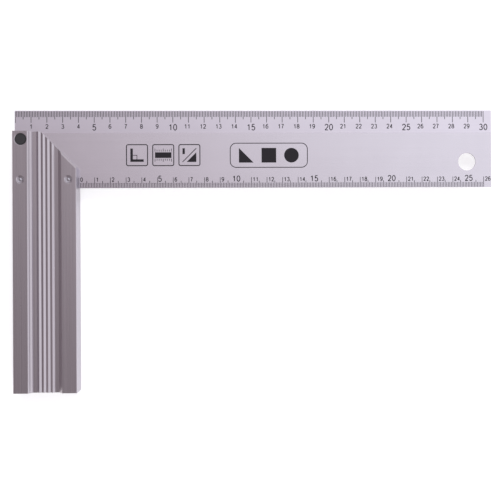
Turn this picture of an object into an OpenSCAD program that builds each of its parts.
// Try square: a steel blade held in the slot of an aluminium stock by two rivets and a corner plug.
// It lies flat, as on a bench. X runs along the blade towards its free end, Y across the blade
// towards its outer edge, and Z up through the thickness.
// Origin: the inside corner of the square, where the blade's inner edge meets the stock's inner
// face, at half the blade's thickness.

/* [Blade] */
// Length of the blade, from the stock's outer face to the free end
blade_len = 305.5; // [200:0.5:500]
// Width of the blade, from its inner edge to its outer edge
blade_w = 49.5; // [45:0.5:70]
// Thickness of the blade
blade_t = 1.2; // [0.8:0.1:2]
// Diameter of the hanging hole
hang_hole_d = 11.2; // [6:0.2:20]
// Distance from the free end to the hole's centre
hang_hole_from_end = 15.9; // [12:0.1:30]
// Distance from the blade's inner edge to the hole's centre
hang_hole_from_edge = 16.4; // [12:0.1:24]

/* [Stock] */
// Length of the stock, from its top end to its bottom end
stock_len = 165; // [120:1:300]
// Width of the stock, from its outer face to its inner face
stock_w = 40; // [36:0.5:60]
// Thickness of the stock, through both grip faces
stock_t = 16; // [14:0.5:24]
// How far the blade's outer edge stands past the stock's top end
blade_overhang = 13.8; // [4:0.2:18]
// Both legs of the 45 degree cut across the stock's top inner corner
mitre = 23; // [10:0.5:24]
// Chamfer along the stock's four long edges
edge_chamfer = 0.3; // [0.2:0.1:1.2]
// Chamfer along both edges of the 45 degree cut
mitre_chamfer = 0.8; // [0.2:0.1:0.8]
// How much wider than the blade's thickness the slot is
slot_clearance = 0.04; // [0.02:0.01:0.2]
// How far the slot runs on past the blade's inner edge
slot_runout = 0.8; // [0.4:0.1:3]

/* [Grip groove] */
// Width of the flat land on each side of the groove, with its edge chamfer
land_w = 9.3; // [8:0.1:10]
// Depth of the groove below the lands, at the foot of its ridges
groove_depth = 3.7; // [3.2:0.1:5]
// Number of ridges along the groove's floor
ridge_count = 4; // [2:1:5]
// Distance from one ridge to the next
ridge_pitch = 2.8; // [2:0.05:2.8]
// Height of a ridge above the groove's floor
ridge_h = 0.8; // [0.3:0.05:1.2]

/* [Fixings] */
// Diameter of a rivet's shank
rivet_d = 3.6; // [3:0.2:5]
// Depth of the 45 degree countersink around each rivet head
rivet_sink = 0.8; // [0.6:0.1:1]
// Distance from each long face of the stock to the nearest rivet's centre
rivet_inset = 5; // [4:0.1:5.5]
// Distance from the blade's inner edge up to the rivets
rivet_up = 5.1; // [4:0.1:8]
// Diameter of the corner plug
plug_d = 7.2; // [5:0.1:7.4]
// Distance from the stock's outer face to the plug's centre
plug_inset = 5.2; // [4.8:0.1:5.4]
// Distance from the stock's top end down to the plug's centre
plug_down = 5.2; // [5:0.1:12]
// Depth of the chamfer around the plug's hole
plug_chamfer = 0.4; // [0.2:0.1:0.6]
// How far the plug's ends lie below the lands
plug_recess = 0.45; // [0.4:0.05:1]

/* [Hidden] */
$fn = 96;
eps = 0.05;

stock_top = blade_w - blade_overhang;
face_z = stock_t / 2;
outer_rivet_at = [-stock_w + rivet_inset, rivet_up];
inner_rivet_at = [-rivet_inset, rivet_up];
plug_at = [-stock_w + plug_inset, stock_top - plug_down];
hang_hole_at = [blade_len - stock_w - hang_hole_from_end, hang_hole_from_edge];

// The groove's side as [distance in, depth]: a chamfer, a small step, a slope and a short wall. The
// floor then falls very gently to the ridges.
groove_side = [[0, 0], [0.9, 0.9], [1.1, 1.5], [2.4, 2.7], [2.55, groove_depth - 0.05]];

// A rivet end: the height of its lip and moat, and the dome in the middle.
lip_w = 0.18;
moat_depth = rivet_sink - 0.05;
dome_r = 0.62 * rivet_d / 2;
dome_h = moat_depth - 0.05;

// Left half of a grip face, from the outer face to the first ridge, as [x, z].
half_face = concat(
    [[0, face_z - edge_chamfer], [edge_chamfer, face_z]],
    [for (p = groove_side) [land_w + p[0], face_z - p[1]]]
);

// The ridges, valley and peak in turn, centred across the stock.
ridges_from = (stock_w - ridge_count * ridge_pitch) / 2;
ridge_line = [for (i = [0 : 2 * ridge_count])
    [ridges_from + i * ridge_pitch / 2, face_z - groove_depth + (i % 2) * ridge_h]];

function reversed(list) = [for (i = [len(list) - 1 : -1 : 0]) list[i]];
function across(list) = [for (p = reversed(list)) [stock_w - p[0], p[1]]];
function below(list) = [for (p = reversed(list)) [p[0], -p[1]]];

// The whole front face from left to right; the back face is its mirror image.
front_face = concat(half_face, ridge_line, across(half_face));

module stock_profile() {
    polygon(concat(front_face, below(front_face)));
}

// A round hole through the whole thickness at a point of the XY plane.
module through_hole(at, d) {
    translate([at[0], at[1], -stock_t]) cylinder(h = 2 * stock_t, d = d);
}

// The cones that chamfer both mouths of such a hole in the stock.
module hole_mouths(at, d, depth) {
    for (side = [0, 1]) translate([at[0], at[1], 0]) mirror([0, 0, side])
        translate([0, 0, face_z - depth])
            cylinder(h = depth + eps, d1 = d, d2 = d + 2 * (depth + eps));
}

module blade() {
    color("lightsteelblue") difference() {
        translate([-stock_w, 0, -blade_t / 2]) cube([blade_len, blade_w, blade_t]);
        through_hole(hang_hole_at, hang_hole_d);
        through_hole(outer_rivet_at, rivet_d);
        through_hole(inner_rivet_at, rivet_d);
        through_hole(plug_at, plug_d);
    }
}

// The slot that takes the blade, open at the stock's top end and at both of its long faces.
module blade_slot() {
    slot_t = blade_t + slot_clearance;
    translate([-stock_w - eps, -slot_runout, -slot_t / 2])
        cube([stock_w + 2 * eps, stock_top + slot_runout + eps, slot_t]);
}

// The corner that the 45 degree cut takes away, with the chamfer along the cut's two edges.
module mitre_waste() {
    translate([0, 0, -stock_t]) linear_extrude(height = 2 * stock_t)
        polygon([[-mitre - eps, stock_top + eps], [eps, stock_top + eps], [eps, stock_top - mitre - eps]]);
    cut_len = 2 * mitre;
    for (side = [0, 1]) mirror([0, 0, side])
        translate([-mitre / 2, stock_top - mitre / 2, face_z]) rotate([0, 0, -45]) rotate([45, 0, 0])
            cube([cut_len, mitre_chamfer * sqrt(2), mitre_chamfer * sqrt(2)], center = true);
}

module stock() {
    color("silver") difference() {
        translate([-stock_w, stock_top, 0]) rotate([90, 0, 0])
            linear_extrude(height = stock_len) stock_profile();
        blade_slot();
        mitre_waste();
        for (at = [outer_rivet_at, inner_rivet_at]) {
            through_hole(at, rivet_d);
            hole_mouths(at, rivet_d, rivet_sink);
        }
        through_hole(plug_at, plug_d);
        hole_mouths(plug_at, plug_d, plug_chamfer);
    }
}

// One end of a rivet: a lip spread on the countersink, a moat, and a dome that stays below the land.
module rivet_half() {
    r = rivet_d / 2;
    dome_radius = (dome_r * dome_r + dome_h * dome_h) / (2 * dome_h);
    dome_span = asin(dome_r / dome_radius);
    dome_top = face_z - moat_depth + dome_h;
    rotate_extrude() polygon(concat(
        [[0, 0], [r, 0], [r, face_z - rivet_sink], [r + lip_w, face_z - rivet_sink + lip_w],
         [r + lip_w - 0.1, face_z - rivet_sink + lip_w], [dome_r + 0.1, face_z - moat_depth]],
        [for (i = [8 : -1 : 0]) let (a = dome_span * i / 8)
            [dome_radius * sin(a), dome_top - dome_radius * (1 - cos(a))]]
    ));
}

module rivet(at) {
    color("gainsboro") translate([at[0], at[1], 0]) {
        rivet_half();
        mirror([0, 0, 1]) rivet_half();
    }
}

module outer_rivet() {
    rivet(outer_rivet_at);
}

module inner_rivet() {
    rivet(inner_rivet_at);
}

// A black dowel right through stock and blade, with a small chamfer at each end.
module corner_plug() {
    r = plug_d / 2;
    end_z = face_z - plug_recess;
    rim = 0.3;
    color("dimgray") translate([plug_at[0], plug_at[1], 0]) rotate_extrude() polygon([
        [0, -end_z], [r - rim, -end_z], [r, rim - end_z], [r, end_z - rim], [r - rim, end_z], [0, end_z]
    ]);
}

blade();
stock();
outer_rivet();
inner_rivet();
corner_plug();
